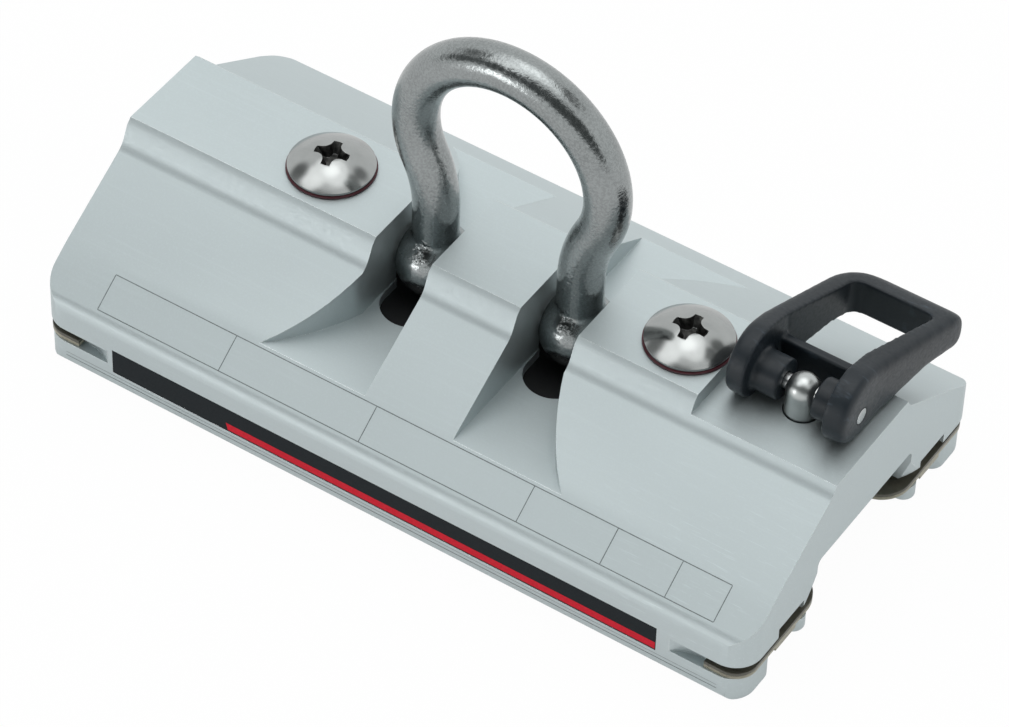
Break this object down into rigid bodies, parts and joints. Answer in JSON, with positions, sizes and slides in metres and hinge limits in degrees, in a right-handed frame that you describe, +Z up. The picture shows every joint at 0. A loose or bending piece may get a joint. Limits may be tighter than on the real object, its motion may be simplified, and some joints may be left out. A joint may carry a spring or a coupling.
{
  "type": "track car",
  "caption": "Aluminium car that rolls on balls along a deck track, with an upright swinging bow shackle, and a spring plunger at one end that a cam lever lifts.",
  "frame": {"origin": "middle of the underside, under the shackle", "axes": "+X along the track towards the plunger, +Y across the car towards the lever's tip, +Z up"},
  "size_m": [0.172, 0.089, 0.0952],
  "materials": {
    "body_aluminium": "satin clear anodised",
    "shackle_steel": "forged and tumbled stainless",
    "pin_steel": "turned stainless",
    "keeper_black": "black hard anodised",
    "screw_steel": "polished stainless",
    "washer_red": "dark red sealing compound",
    "plunger_steel": "polished stainless",
    "bush_plastic": "plain",
    "spring_steel": "plain stainless wire",
    "lever_plastic": "slate grey, satin",
    "label_black": "black film, plain red stripe",
    "ball_plastic": "bearing plastic",
    "guide_plastic": "olive, slightly translucent"
  },
  "bodies": {
    "car": {"car_body": "body_aluminium", "shackle_pin": "pin_steel", "pin_keeper": "keeper_black", "top_screw_left": "screw_steel", "top_screw_right": "screw_steel", "seal_washer_left": "washer_red", "seal_washer_right": "washer_red", "plunger_guide": "bush_plastic", "plunger_spring": "spring_steel", "side_label": "label_black", "ball_loop_front": "ball_plastic", "ball_loop_rear": "ball_plastic", "guide_upper_front_left": "guide_plastic", "guide_lower_front_left": "guide_plastic", "guide_upper_front_right": "guide_plastic", "guide_lower_front_right": "guide_plastic", "guide_upper_rear_left": "guide_plastic", "guide_lower_rear_left": "guide_plastic", "guide_upper_rear_right": "guide_plastic", "guide_lower_rear_right": "guide_plastic"},
    "shackle": {"shackle": "shackle_steel"},
    "plunger": {"stop_plunger": "plunger_steel", "lever_pin": "pin_steel"},
    "lever": {"cam_lever": "lever_plastic"}
  },
  "joints": [
    {"name": "shackle_swing", "type": "hinge", "parent": "car", "child": "shackle", "pos_m": [0, 0, 0.0296], "axis": [1, 0, 0], "range_deg": [-90, 90]},
    {"name": "plunger_lift", "type": "slide", "parent": "car", "child": "plunger", "axis": [0, 0, 1], "range_m": [0, 0.00355], "deforming": ["plunger_spring"]},
    {"name": "lever_swing", "type": "hinge", "parent": "plunger", "child": "lever", "pos_m": [0.0697, 0, 0.0433], "axis": [1, 0, 0], "range_deg": [0, 180]}
  ],
  "couplings": [
    {"joint": "plunger_lift", "follows": "lever_swing", "m_per_rad": 0.00113}
  ]
}
